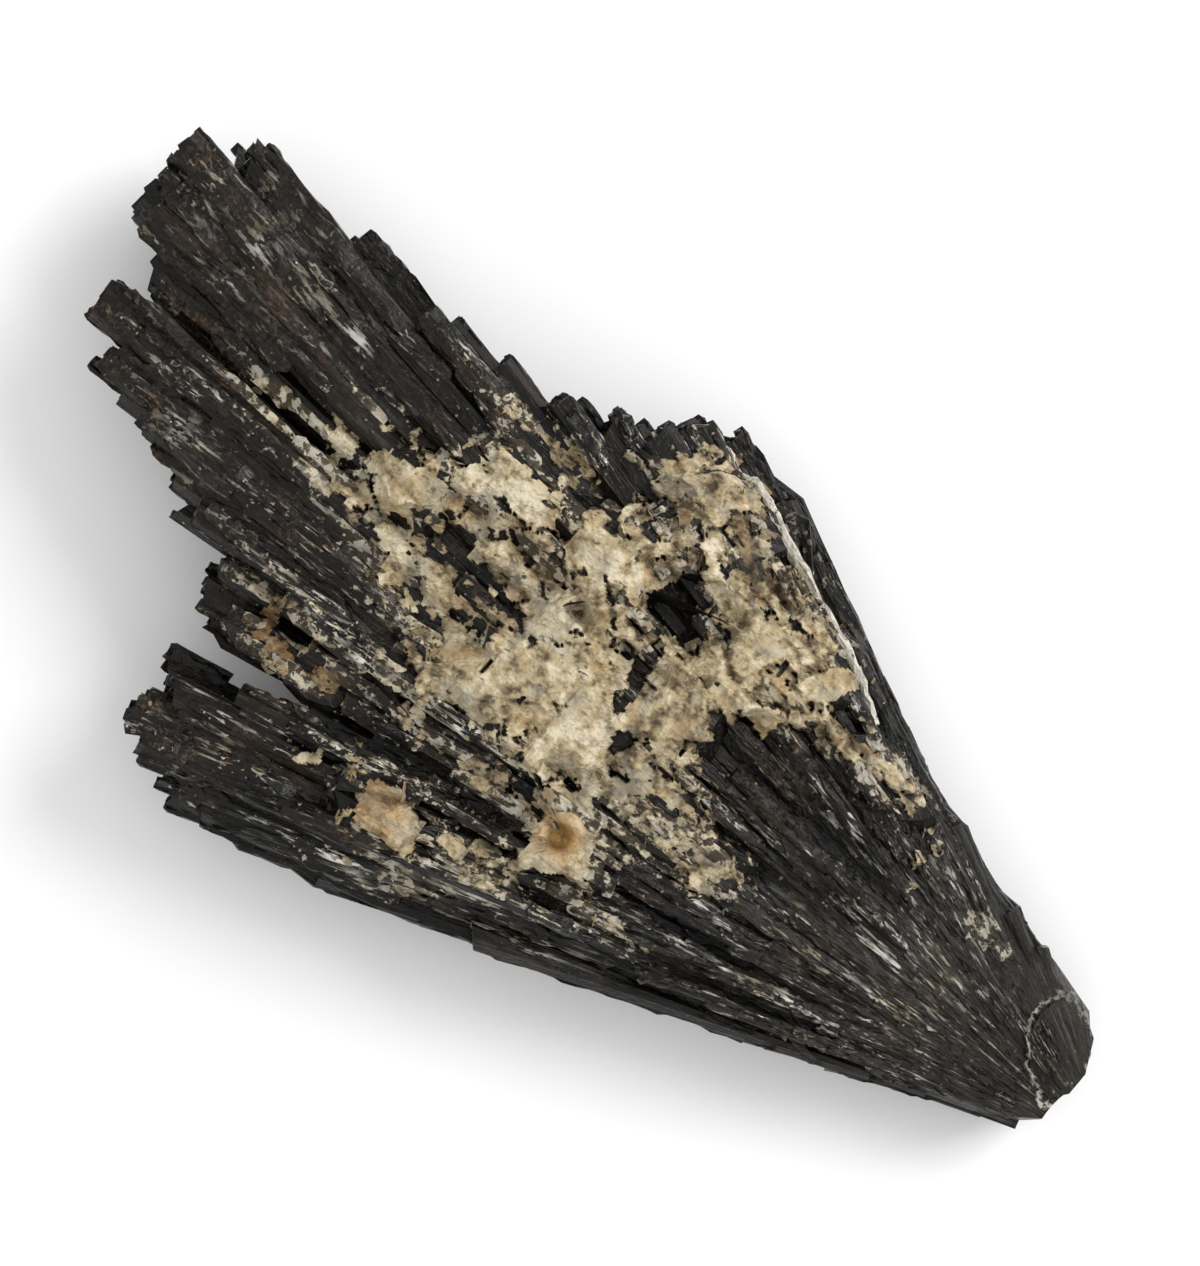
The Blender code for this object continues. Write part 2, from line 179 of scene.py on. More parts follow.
# Crust patches in millimetres from the growth centre: distance along the fan, offset across
# it, half length, half width, thickness of the crust, and tone from 0, cream, to 1, brown.
crustLook = {
    "patches": [
        (36.7, 1.0, 4.5, 4.0, 0.4, 0.12), (39.6, 2.6, 2.6, 2.2, 0.3, 0.3),
        (33.6, 2.4, 2.6, 2.0, 0.34, 0.05), (30.9, -1.1, 2.6, 2.4, 0.55, 0.45),
        (30.4, -4.6, 2.7, 2.6, 0.5, 0.5), (28.6, -8.0, 2.9, 3.2, 0.45, 0.4),
        (31.6, -7.6, 2.0, 2.6, 0.45, 0.35), (35.0, -10.3, 3.9, 2.9, 0.42, 0.42),
        (38.1, -11.6, 2.4, 1.7, 0.35, 0.35), (38.1, -6.1, 3.0, 2.4, 0.45, 0.2),
        (44.9, -5.1, 2.9, 1.7, 0.38, 0.16), (48.3, -2.1, 2.7, 1.7, 0.34, 0.14),
        (38.8, 10.8, 2.6, 1.8, 0.32, 0.5), (31.2, 6.0, 2.5, 2.2, 0.38, 0.2),
        (21.4, -6.8, 3.5, 1.2, 0.34, 0.34), (25.1, 2.3, 2.0, 1.6, 0.28, 0.26),
        (28.4, 2.3, 2.8, 2.2, 0.22, 0.3), (42.4, 4.6, 2.8, 1.7, 0.26, 0.34),
        (33.4, 10.0, 2.8, 1.4, 0.26, 0.4), (41.6, -2.2, 2.6, 1.8, 0.26, 0.25),
        (35.6, 6.0, 2.6, 1.2, 0.24, 0.3), (36.2, 12.9, 1.8, 0.9, 0.22, 0.4),
        (49.4, 7.4, 3.2, 2.2, 0.22, 1.1), (45.6, 8.2, 2.4, 1.6, 0.22, 1.0),
        (12.9, -4.4, 0.9, 0.75, 0.42, 0.05), (11.2, -4.2, 0.5, 0.45, 0.4, 0.05),
        (43.0, -8.0, 2.0, 1.2, 0.2, 0.3),
        (52.0, -0.8, 3.0, 1.6, 0.24, 0.3), (48.5, 0.6, 3.0, 1.8, 0.26, 0.3),
        (44.6, 1.5, 3.2, 1.8, 0.28, 0.25), (39.2, 5.7, 2.8, 1.8, 0.24, 0.35),
        (43.8, -2.7, 2.6, 1.6, 0.28, 0.25), (56.0, -0.4, 2.4, 1.3, 0.28, 0.25),
        (27.5, 7.8, 2.8, 0.9, 0.2, 0.3), (25.6, -6.6, 2.2, 1.3, 0.28, 0.35),
        (34.6, -2.6, 2.2, 1.8, 0.45, 0.3), (37.0, -2.6, 1.8, 1.6, 0.4, 0.22),
        (41.6, 0.6, 3.0, 1.4, 0.22, 0.2), (47.0, -3.6, 3.0, 1.0, 0.2, 0.2),
        (46.4, -8.0, 2.6, 1.2, 0.2, 0.25), (51.6, -3.6, 2.8, 1.0, 0.2, 0.25),
    ],
    # Whole slabs: distance, offset, half length, half width, turn in degrees, and tone.
    "slabs": [
        (39.7, -5.6, 1.75, 1.35, 50.0, 0.3), (36.4, -6.7, 1.25, 0.95, 10.0, 0.34),
        (38.8, 10.7, 1.95, 1.6, 30.0, 0.6), (48.3, -1.8, 1.75, 0.9, 5.0, 0.1),
        (44.5, -5.6, 2.1, 1.05, -6.0, 0.24), (38.0, 1.3, 1.7, 1.5, 20.0, 0.22),
        (34.2, 1.5, 2.2, 2.0, 35.0, -0.05), (31.6, -2.2, 2.3, 1.75, 70.0, 0.42),
        (31.0, -7.5, 1.8, 1.55, 15.0, 0.4), (26.6, -8.2, 1.4, 1.2, 40.0, 0.26),
        (37.0, -12.0, 1.45, 1.25, 0.0, 0.32), (40.7, 2.4, 1.35, 1.1, 25.0, 0.2),
        (39.3, -1.4, 1.55, 0.9, 65.0, 0.06), (21.1, -7.0, 0.85, 0.6, 0.0, 0.2),
        (24.9, 3.2, 1.05, 0.6, 10.0, 0.16), (43.2, 11.2, 0.7, 0.5, 30.0, 0.1),
        (31.4, 5.9, 2.2, 1.9, 40.0, 0.1), (28.4, -4.9, 1.2, 0.9, 20.0, 0.34),
    ],
    # Orange and golden stains on stone and crust: distance, offset, radius and strength.
    "stains": [(38.8, 10.8, 2.2, 0.34), (31.5, 6.0, 1.05, 1.0), (50.4, 8.5, 2.6, 0.5),
               (46.5, 8.4, 1.6, 0.4), (25.6, -3.1, 1.9, 0.45), (59.0, -3.0, 4.0, 0.18),
               (57.0, 12.0, 3.5, 0.16)],
    # Pits and the crack: distance, offset, half length and half width.
    "pits": [(34.0, -6.3, 1.5, 0.8), (25.6, -3.1, 3.6, 2.5), (38.9, 5.4, 2.2, 0.9),
             (34.0, -3.2, 0.45, 1.2), (33.6, -1.2, 0.4, 0.9), (32.3, 0.5, 0.45, 0.7)],
    "solid": 0.36,  # patches thinner than this are broken up, millimetres
    "emptiness": 0.9,  # share of the crust that is gone in the middle of a pit
    "plate": (1.3, 0.85),  # millimetres that a plate of crust is long and wide
    "missing": 0.42,  # share of plates that may have broken away
    "crack": (0.24, 0.24),  # width and depth of the gaps between plates
    "bent": ((0.9, 0.3), (0.35, 0.12)),  # size and strength of the waves in all outlines
    "ragged": 0.8,  # how much the crust's outline wanders
    "streak": (2.4, 0.6),  # millimetres that the streaks in that outline are long and wide
    "lump": 1.5,  # millimetres across its lumps
    "grain": 0.36,  # millimetres across its grains
    "slabReach": 4.5,  # millimetres from its middle that a slab may reach
    "slabSides": 5,
    "corner": 1.256,  # radians between the sides of a slab
    "slabEdge": 0.12,  # millimetres over which a slab turns into crust
    "slabLean": 0.8,  # how much a slab tilts
    "thicker": 0.06,  # how much a slab stands over the crust around it, millimetres
    "tilt": 1.6,  # how much the plates tilt
    "dust": 0.62,  # share of cover that crumbs of crust reach out to
}


def coverAt(distance, offset):
    # Returns the cover of crust here (about 1 where it is whole), its thickness and its tone.
    cover, thickness, tone, weight = 0.0, 0.0, 0.0, 1e-6
    for along, across, halfLength, halfWidth, thick, shade in crustLook["patches"]:
        reach = ((distance - along) / halfLength) ** 2 + ((offset - across) / halfWidth) ** 2
        if reach < 9.0:
            share = math.exp(-1.2 * reach)
            cover += share * min(1.0, thick / crustLook["solid"])
            thickness += share * thick
            tone += share * shade
            weight += share
    for along, across, halfLength, halfWidth in crustLook["pits"]:
        reach = ((distance - along) / halfLength) ** 2 + ((offset - across) / halfWidth) ** 2
        cover *= 1.0 - crustLook["emptiness"] * math.exp(-0.7 * reach * reach)
    return min(cover, 1.05), thickness / weight, tone / weight


def slabAt(distance, offset):
    # Returns the depth inside a slab in millimetres, the slab's tone and its number.
    deepest, shade, found = -1.0, 0.0, 0
    for number, (along, across, halfLength, halfWidth, turn, tone) in enumerate(crustLook["slabs"]):
        away, aside = distance - along, offset - across
        if abs(away) + abs(aside) > crustLook["slabReach"]:
            continue
        turned = math.radians(turn)
        lengthwise = (away * math.cos(turned) + aside * math.sin(turned)) / halfLength
        crosswise = (aside * math.cos(turned) - away * math.sin(turned)) / halfWidth
        furthest = 0.0
        for side in range(crustLook["slabSides"]):
            angle = side * crustLook["corner"] + 0.5 * math.sin(number * 5.0 + side * 2.0)
            reach = lengthwise * math.cos(angle) + crosswise * math.sin(angle)
            furthest = max(furthest, reach / (0.82 + 0.22 * math.sin(number * 3.0 + side * 4.0)))
        inside = (1.0 - furthest) * min(halfLength, halfWidth)
        if inside > deepest:
            deepest, shade, found = inside, tone, number
    return deepest, shade, found


def crustAt(distance, offset):
    # Returns the depth inside a plate (over 0 inside), the crust's thickness and tone, the plate's
    # shade from -1 to 1, how high it stands here, and how much of this place is a slab.
    cover, thickness, tone = coverAt(distance, offset)
    radius, arc = math.hypot(distance, offset), math.atan2(offset, distance) * fanMiddle
    (longStreak, wideStreak), (longPlate, widePlate) = crustLook["streak"], crustLook["plate"]
    (wave, waveRise), (ripple, rippleRise) = crustLook["bent"]
    streaks = noise.fractal(Vector((radius / longStreak, arc / wideStreak, 3.7)), 1.0, 2.0, 2)
    lumps = noise.fractal(Vector((distance, offset, 9.1)) / crustLook["lump"], 1.0, 2.0, 3)
    grains = noise.noise(Vector((distance, offset, 5.3)) / crustLook["grain"])
    strayed = noise.noise_vector(Vector((distance, offset, 2.2)) / wave) * waveRise
    strayed += noise.noise_vector(Vector((distance, offset, 6.1)) / ripple) * rippleRise
    place = Vector((radius / longPlate, arc / widePlate, 0.0)) + strayed
    place.z = 0.0
    gaps, centres = noise.voronoi(place)
    first = noise.cell(centres[0] * 17.3)  # two numbers of the plate's own
    second = noise.cell(centres[0] * 31.7 + Vector((5.0, 3.0, 1.0)))
    gap = 1.0 - smooth((gaps[1] - gaps[0]) / crustLook["crack"][0])
    depth = cover - 0.5 + crustLook["missing"] * first - crustLook["crack"][1] * gap
    depth += crustLook["ragged"] * (0.22 * streaks + 0.38 * lumps + 0.14 * grains)
    level = second + crustLook["tilt"] * (place - centres[0]).dot(Vector((first, second, 0.0)))
    inside, slabTone, number = slabAt(distance + strayed.x * 0.7, offset + strayed.y * 0.7)
    whole = smooth(0.5 + (inside + 0.10 * grains) / crustLook["slabEdge"])
    if whole > 0.0:
        depth += whole * (max(depth, 0.12 + 1.2 * inside + 0.10 * grains) - depth)
        thickness += whole * (crustLook["thicker"] + 0.30 - 0.5 * thickness)
        tone += whole * (slabTone - tone)
        first *= 1.0 - 0.8 * whole
        along, across = crustLook["slabs"][number][:2]
        lean = (distance - along) * math.sin(number * 2.3)
        lean += (offset - across) * math.cos(number * 2.3)
        level += whole * (crustLook["slabLean"] * lean + 0.3 * math.sin(number * 4.1) - level)
    return depth, thickness, tone, first, level, whole


def crustHides(distance, offset):
    # Whether the crust here is whole enough to hide blades.
    return coverAt(distance, offset)[0] > 0.78 or crustAt(distance, offset)[0] > 0.25


def stainAt(distance, offset):
    stain = 0.0
    for along, across, radius, strength in crustLook["stains"]:
        reach = math.hypot(distance - along, offset - across) / radius
        stain = max(stain, strength * math.exp(-reach * reach))
    return stain


# Every blade is a copy of a bar from x 0 to 1, y and z from -0.5 to 0.5.
bladePattern = {
    "stations": [0.08, 0.22, 0.36, 0.5, 0.64, 0.78, 0.92],  # cuts, as shares of its length
    "chamfer": 0.26,  # of the two upper corners
    "groove": (0.06, -0.3),  # how far a twin blade's groove lies aside and down
    "crest": 0.25,  # width of a ridge blade's top, as a share
    "crestAside": 0.08,  # how far that top lies aside
}


bladeShares = np.array([0.0] + bladePattern["stations"] + [1.0])
lastStation = len(bladeShares) - 1


def selectWhere(obj, test):
    # Selects the vertices for which test says yes. The object is in edit mode.
    bpy.ops.mesh.select_all(action="DESELECT")
    bpy.ops.object.mode_set(mode="OBJECT")
    for vertex in obj.data.vertices:
        vertex.select = test(vertex.co)
    for edge in obj.data.edges:
        edge.select = all(obj.data.vertices[i].select for i in edge.vertices)
    bpy.ops.object.mode_set(mode="EDIT")


def makePattern(name, kind):
    deselectAll()
    bpy.ops.mesh.primitive_cube_add(size=1.0, location=(0.5, 0.0, 0.0))
    obj = bpy.context.active_object
    obj.name = name
    bpy.ops.object.transform_apply(location=True, rotation=True, scale=True)
    bpy.ops.object.mode_set(mode="EDIT")
    bpy.ops.mesh.select_mode(type="EDGE")
    bpy.ops.mesh.select_all(action="SELECT")
    if kind == "twin":
        bpy.ops.mesh.bisect(plane_co=(0.0, 0.0, 0.0), plane_no=(0.0, 1.0, 0.0))
        selectWhere(obj, lambda co: co.z > 0.4 and abs(co.y) < 0.01)
        bpy.ops.transform.translate(value=(0.0, *bladePattern["groove"]))
        bpy.ops.mesh.select_all(action="SELECT")
    selectWhere(obj, lambda co: co.z > 0.4)
    bpy.ops.object.mode_set(mode="OBJECT")
    for edge in obj.data.edges:
        ends = [obj.data.vertices[i].co for i in edge.vertices]
        lengthwise = abs(ends[0].x - ends[1].x) > 0.5
        edge.select = lengthwise and ends[0].z > 0.4 and abs(ends[0].y) > 0.4
    bpy.ops.object.mode_set(mode="EDIT")
    bpy.ops.mesh.bevel(offset=bladePattern["chamfer"], segments=1, affect="EDGES")
    for share in bladePattern["stations"]:
        bpy.ops.mesh.select_all(action="SELECT")
        bpy.ops.mesh.bisect(plane_co=(share, 0.0, 0.0), plane_no=(1.0, 0.0, 0.0))
    if kind == "ridge":
        selectWhere(obj, lambda co: co.z > 0.4)
        bpy.ops.transform.resize(value=(1.0, bladePattern["crest"], 1.0),
                                 center_override=(0.5, bladePattern["crestAside"], 0.5))
    bpy.ops.object.mode_set(mode="OBJECT")
    coords = coordsOf(obj.data)
    setAttribute(obj.data, "crest", np.clip(coords[:, 2] * 2.0, 0.0, 1.0))
    for name in ("tone", "dust", "pale"):
        setAttribute(obj.data, name, np.zeros(len(coords)))
    return obj


patterns = [makePattern("ridgePattern", "ridge"), makePattern("flatPattern", "flat"),
            makePattern("twinPattern", "twin")]
print("blade patterns ready")

bladeLook = {
    "spread": (-21.6, 21.3),  # degrees either side of +X that the fan opens to
    "pitch": 0.62,  # degrees between the tracks that the blades lie on
    "first": (4.5, 8.5),  # millimetres from the growth centre where a track starts
    "last": 67.0,  # and where it ends
    "crowding": (0.25, 26.0),  # fewer blades are laid near the centre
    "next": (0.55, 0.95),  # where the next blade starts, as shares of the length
    "length": (2.5, 9.5),  # millimetres
    "width": (0.36, 0.95),  # millimetres, at the middle of the fan
    "narrow": 0.35,  # share of that width at the growth centre
    "drift": 0.35,  # how far a blade turns aside, millimetres
    "overrun": (-0.5, 0.1),  # millimetres that it reaches past the stone it lies on
    "tilt": 0.35,  # how steeply a blade may lie across the fan
    "waver": (0.8, 1.15),  # factors by which the width changes along one blade
    "proud": (0.1, 0.36),  # millimetres over the surface
    "seat": 0.55,  # millimetres under the surface
    "broken": (0.25, 1.35),  # factors by which the height changes along it
    "rough": 0.035,  # how far each point strays, millimetres
    "ledge": (0.42, 0.63),  # millimetres: a step in the upper or lower side that ends a blade
    "samples": 14,  # places where the surface under a blade is looked up
    "fewest": 5,  # places that a blade needs
    "taper": 0.55,  # share of the width that is left at both ends
}


def layBlade(pattern, places, ups, across, widths, proud, seat, tone, pale=0.0):
    # Lays a copy of a pattern along places, one for each station.
    obj = pattern.copy()
    obj.data = pattern.data.copy()
    bpy.context.scene.collection.objects.link(obj)
    coords = coordsOf(pattern.data)
    station = np.abs(coords[:, 0:1] - bladeShares[None, :]).argmin(axis=1)
    places, ups, across = np.array(places), np.array(ups), np.array(across)
    widths, proud = np.array(widths), np.array(proud)
    rise = np.where(coords[:, 2] > 0, coords[:, 2] * 2 * proud[station], coords[:, 2] * 2 * seat)
    made = places[station] + ups[station] * rise[:, None]
    made = made + across[station] * (coords[:, 1] * widths[station])[:, None]
    stray = np.random.default_rng(dice.randrange(1000000))
    made = made + stray.normal(0.0, bladeLook["rough"] * mm, made.shape)
    setCoords(obj.data, made)
    # lit sets how strongly the painted highlight shows on each station's crest.
    lit = stray.uniform(0.0, 1.0, len(bladeShares)) ** 1.5
    setAttribute(obj.data, "crest", np.clip(coords[:, 2] * 2.0, 0.0, 1.0) * lit[station])
    setAttribute(obj.data, "tone", np.full(len(coords), tone))
    setAttribute(obj.data, "pale", np.full(len(coords), pale))
    return obj


def heightNear(angle, radius, down):
    # The height of the fan's upper side, or of its underside where down is False, or None.
    way = -1.0 if down else 1.0
    hit = fanTree.ray_cast(placeAt(angle, radius, -way * rayStart), Vector((0.0, 0.0, way)))
    return None if hit[0] is None else hit[0].z


def traceSurface(angle, near, far, down, samples):
    # Follows the surface along one radial line. It stops at a ledge or at the end of the fan.
    found = []
    for k in range(samples):
        radius = near + (far - near) * k / (samples - 1)
        height = heightNear(angle, radius, down)
        if height is None:
            break
        if found and abs(height - found[-1][1]) > bladeLook["ledge"][0 if down else 1] * mm:
            break
        found.append((radius, height))
    return found


def broadBlade(angle, near, far, down, look, tone):
    # A blade on the upper side, or on the underside where down is False.
    found = traceSurface(angle, near, far, down, look["samples"])
    if len(found) < look["fewest"]:
        return None
    reach = found[-1][0] + dice.uniform(*look["overrun"]) * mm
    near = found[0][0]
    radii = [near + share * (reach - near) for share in bladeShares]
    heights = np.interp(radii, [row[0] for row in found], [row[1] for row in found])
    drift = dice.uniform(-look["drift"], look["drift"]) * mm
    places, ups, acrosses, widths, prouds = [], [], [], [], []
    width = dice.uniform(*look["width"]) * mm
    proud = dice.uniform(*look["proud"]) * mm
    for k, (radius, height) in enumerate(zip(radii, heights)):
        turned = angle + drift * (bladeShares[k] - 0.5) / max(radius, 0.01)
        grown = width * (look["narrow"] + (1.0 - look["narrow"]) * radius / (fanMiddle * mm))
        left = heightNear(turned + 0.5 * grown / radius, radius, down)
        right = heightNear(turned - 0.5 * grown / radius, radius, down)
        tilt = 0.0
        if left is not None and right is not None:
            tilt = max(-look["tilt"], min(look["tilt"], (left - right) / grown))
        ending = look["taper"] if k in (0, lastStation) else dice.uniform(*look["waver"])
        places.append(placeAt(turned, radius, height))
        ups.append(Vector((0.0, 0.0, 1.0 if down else -1.0)))
        acrosses.append((sideways(turned) + Vector((0.0, 0.0, tilt))).normalized())
        widths.append(grown * ending)
        ridge = 0.5
        if down:
            ridge = reliefAt(places[-1].x, places[-1].y, height) / (reliefLook["high"] * mm)
        ridge = 0.55 + 0.75 * min(1.2, max(-0.4, ridge))  # ridges carry prouder blades
        prouds.append(proud * ridge * (0.1 if k == 0 else dice.uniform(*look["broken"])))
    return layBlade(dice.choice(patterns), places, ups, acrosses, widths, prouds,
                    look["seat"] * mm, tone)


def coverSide(down, look, keepOff):
    # Covers one side with blades. With keepOff they stay off the crust.
    made = []
    low, high = look["spread"]
    tracks = int((high - low) / look["pitch"])
    for track in range(tracks):
        radius = dice.uniform(*look["first"])
        while radius < look["last"]:
            length = dice.uniform(*look["length"]) * (0.5 + 0.5 * radius / fanMiddle)
            angle = math.radians(low + (track + dice.uniform(0.0, 1.0)) * (high - low) / tracks)
            crowded = dice.random() > look["crowding"][0] + radius / look["crowding"][1]
            middle = radius + 0.5 * length
            hidden = keepOff and crustHides(middle * math.cos(angle), middle * math.sin(angle))
            if not crowded and not hidden:
                near, far = radius * mm, (radius + length) * mm
                blade = broadBlade(angle, near, far, down, look, dice.random())
                if blade:
                    made.append(blade)
            radius += length * dice.uniform(*look["next"])
    return made


upperBlades = coverSide(True, bladeLook, True)
print("upper blades:", len(upperBlades))

backLook = dict(bladeLook, pitch=0.95, length=(6.0, 18.0), width=(0.6, 1.3), proud=(0.06, 0.22))
lowerBlades = coverSide(False, backLook, False)
print("lower blades:", len(lowerBlades))

# Blades along the side walls, and stubs in the fingers' broken ends. Lengths in millimetres.
wallLook = {
    "count": 56,  # tries on each wall
    "storeys": (0.16, 0.86),  # shares of the wall's height
    "reach": (8.5, 39.0),  # from the growth centre to where a blade starts
    "length": (5.0, 16.0),
    "width": (0.4, 0.8),
    "waver": (0.85, 1.1),
    "taper": 0.6,
    "proud": (0.06, 0.26),
    "lowEnds": 0.3,  # share of that height that is left at both ends
    "seat": 0.4,
    "edge": 21.0,  # degrees from +X to the walls
    "step": (1.6, 0.4),  # the steepest step in the wall that a blade follows
}
stubLook = {
    "count": 620,  # tries
    "height": (0.5, 10.8),
    "start": 90.0,  # from the growth centre, beyond the fan
    "facing": 0.35,  # how squarely the stone there faces outwards
    "nearest": 30.0,  # from the growth centre
    "length": 3.4,  # most of it inside the finger
    "out": (0.0, 0.3),  # how far a stub sticks out
    "width": (0.35, 1.0),
    "thickness": (0.3, 0.75),
    "taper": 0.8,
    "floor": 0.35,  # how far stubs stay above the floor
}


def wallHit(radius, side, height):
    # Where a line from outside meets the side wall at this radius and height.
    axis = outward(math.radians(-1.0 if side < 0 else 1.0))
    start = growthCentre + axis * radius + sideways(0.0) * side * 0.04 + Vector((0.0, 0.0, height))
    return fanTree.ray_cast(start, -sideways(0.0) * side)[0]


def wallBlade(side, look):
    near = dice.uniform(*look["reach"]) * mm
    far = near + dice.uniform(*look["length"]) * mm
    storey = dice.uniform(*look["storeys"])
    places, ups, acrosses, widths, prouds = [], [], [], [], []
    width, proud = dice.uniform(*look["width"]) * mm, dice.uniform(*look["proud"]) * mm
    steepest = look["step"][0] * mm + look["step"][1] * (far - near) / lastStation
    edge = math.radians(look["edge"]) * side * 0.96
    before = None
    for k, share in enumerate(bladeShares):
        radius = near + share * (far - near)
        top, foot = heightNear(edge, radius, True), heightNear(edge, radius, False)
        if top is None or foot is None:
            return None
        hit = wallHit(radius, side, foot + storey * (top - foot))
        if hit is None:
            return None
        if before is not None and abs(hit.y - before) > steepest:
            return None
        before = hit.y
        ending = k in (0, lastStation)
        places.append(hit)
        ups.append(sideways(0.0) * side)
        acrosses.append(Vector((0.0, 0.0, 1.0)))
        widths.append(width * (look["taper"] if ending else dice.uniform(*look["waver"])))
        prouds.append(proud * (look["lowEnds"] if ending else dice.uniform(*bladeLook["broken"])))
    return layBlade(dice.choice(patterns), places, ups, acrosses, widths, prouds, look["seat"] * mm,
                    dice.random())


def endStub(look):
    angle = math.radians(dice.uniform(*bladeLook["spread"]))
    height = dice.uniform(*look["height"]) * mm
    hit = fanTree.ray_cast(placeAt(angle, look["start"] * mm, height), -outward(angle))
    if hit[0] is None or hit[1].dot(outward(angle)) < look["facing"]:
        return None
    end = (hit[0] - growthCentre - Vector((0.0, 0.0, height))).length
    if end < look["nearest"] * mm:
        return None
    thickness = dice.uniform(*look["thickness"]) * mm
    if height - thickness < look["floor"] * mm:
        return None
    out = dice.uniform(*look["out"]) * mm
    width = dice.uniform(*look["width"]) * mm
    places = [placeAt(angle, end + out - (1 - share) * look["length"] * mm, height)
              for share in bladeShares]
    ups = [Vector((0.0, 0.0, 1.0))] * len(bladeShares)
    acrosses = [sideways(angle)] * len(bladeShares)
    ending = [1.0] * lastStation + [look["taper"]]
    widths = [width * share for share in ending]
    prouds = [0.5 * thickness * share for share in ending]
    return layBlade(dice.choice(patterns), places, ups, acrosses, widths, prouds, 0.5 * thickness,
                    dice.random())


# The pale, bright edge of the crown, in millimetres. Its colour is a painted highlight on the lit
# edge.
rimLook = {
    "line": [(40.2, -13.9), (37.6, -13.9), (35.8, -13.6), (33.7, -12.9), (30.3, -11.7),
             (26.6, -10.6), (23.4, -9.5)],  # from the growth centre
    "pieces": 7,
    "overlap": 1.25,  # length of a piece, where 1 would just meet the next
    "crown": 6.5,  # the rim lies on what is higher than this
    "width": 0.58,
    "proud": 0.32,
    "waver": (0.5, 1.2),  # factors by which its width changes
    "wave": (0.3, 1.2),  # and its height
    "seat": 0.5,
}


def rimBlades(look):
    line = [Vector((x, y)) for x, y in look["line"]]
    made = []
    before = None
    for number in range(look["pieces"]):
        first = number / look["pieces"] + dice.uniform(-0.02, 0.01)
        last = (number + look["overlap"]) / look["pieces"]
        places, ups, acrosses, widths, prouds = [], [], [], [], []
        for share in bladeShares:
            where = min(0.999, max(0.0, first + (last - first) * share)) * (len(line) - 1)
            point = line[int(where)].lerp(line[int(where) + 1], where % 1.0)
            along = (line[int(where) + 1] - line[int(where)]).normalized()
            for inset in range(12):  # moves in to the crown
                x, y = point.x * mm, (point.y + 0.12 * inset) * mm
                hit = dropOnto(growthCentre + Vector((x, y, rayStart)))
                if hit is not None and hit.z > look["crown"] * mm:
                    break
            if hit is None:
                return made
            before = hit if before is None else before.lerp(hit, 0.45)
            places.append(Vector((hit.x, hit.y, before.z)))
            ups.append(Vector((0.0, -0.35, 0.94)))
            acrosses.append(Vector((-along.y, along.x, 0.3)).normalized())
            widths.append(look["width"] * mm * dice.uniform(*look["waver"]))
            prouds.append(look["proud"] * mm * dice.uniform(*look["wave"]))
        made.append(layBlade(dice.choice(patterns), places, ups, acrosses, widths, prouds,
                             look["seat"] * mm, dice.random(), 1.0))
    return made


wallBlades = [wallBlade(side, wallLook) for side in (-1, 1) for number in range(wallLook["count"])]
wallBlades = [blade for blade in wallBlades if blade]
stubs = [endStub(stubLook) for number in range(stubLook["count"])]
stubs = [stub for stub in stubs if stub]
print("wall blades:", len(wallBlades), "stubs:", len(stubs))

topFacing = joinAs("upper_blades", upperBlades + rimBlades(rimLook))
otherBlades = joinAs("side_and_back_blades", lowerBlades + wallBlades + stubs)
for pattern in patterns:
    bpy.data.objects.remove(pattern)
for blades in (topFacing, otherBlades):
    coords = coordsOf(blades.data)
    coords[:, 2] = np.clip(coords[:, 2], 0.02 * mm, highest)
    setCoords(blades.data, coords)


def markSurface(obj):
    # Marks each point's crumbs of crust, stain, painted shade for its depth in a hollow, and how
    # bright the painted highlight on its crest is.
    coords = coordsOf(obj.data)
    dust, stain, hollow = np.zeros(len(coords)), np.zeros(len(coords)), np.zeros(len(coords))
    crest = np.zeros(len(coords))
    obj.data.attributes["crest"].data.foreach_get("value", crest)
    for k, (x, y, z) in enumerate(coords):
        distance, offset = fromCentre(x, y)
        stain[k] = stainAt(distance, offset)
        if z < reliefLook["from"] * mm:
            continue
        dust[k] = min(1.0, coverAt(distance, offset)[0] / crustLook["dust"]) ** 0.6
        relief = reliefAt(x, y, z)
        hollow[k] = smooth(-relief / (reliefLook["deep"] * mm))
        crest[k] *= 0.25 + 0.95 * smooth(0.5 + 0.5 * relief / (reliefLook["high"] * mm))
    for name, values in (("dust", dust), ("stain", stain), ("hollow", hollow), ("crest", crest),
                         ("blade", np.ones(len(coords)))):
        setAttribute(obj.data, name, values)


markSurface(topFacing)
markSurface(otherBlades)
print("surface marked")

# The crust is a fine sheet on the crown that rises out of the stone only in its patches.
sheetLook = {
    "near": (16.5, -15.0),  # one corner, in millimetres from the growth centre
    "far": (53.0, 14.5),  # the corner across from it
    "spread": 22.0,  # degrees either side of +X that it reaches at most
    "step": 0.13,  # millimetres between points
    "blur": 2,  # points that the stone's edges are softened over
    "margin": 3,  # points that it keeps from the edge of the fan
    "hem": -0.3,  # depth outside its plates where it ends
    "edge": 0.12,  # depth over which it rises to its full thickness
    "sunk": 0.45,  # millimetres under the surface where it is bare
    "grain": 0.42,  # millimetres across one grain
    "grainRise": 0.1,
    "plateRise": 0.17,  # how much the plates differ in height
    "ledge": 2.3,  # millimetres across its ledges
    "ledgeRise": 0.3,
    "lump": 1.3,
    "lumpRise": 0.22,
    "wall": 0.8,  # thickness of the sheet
}


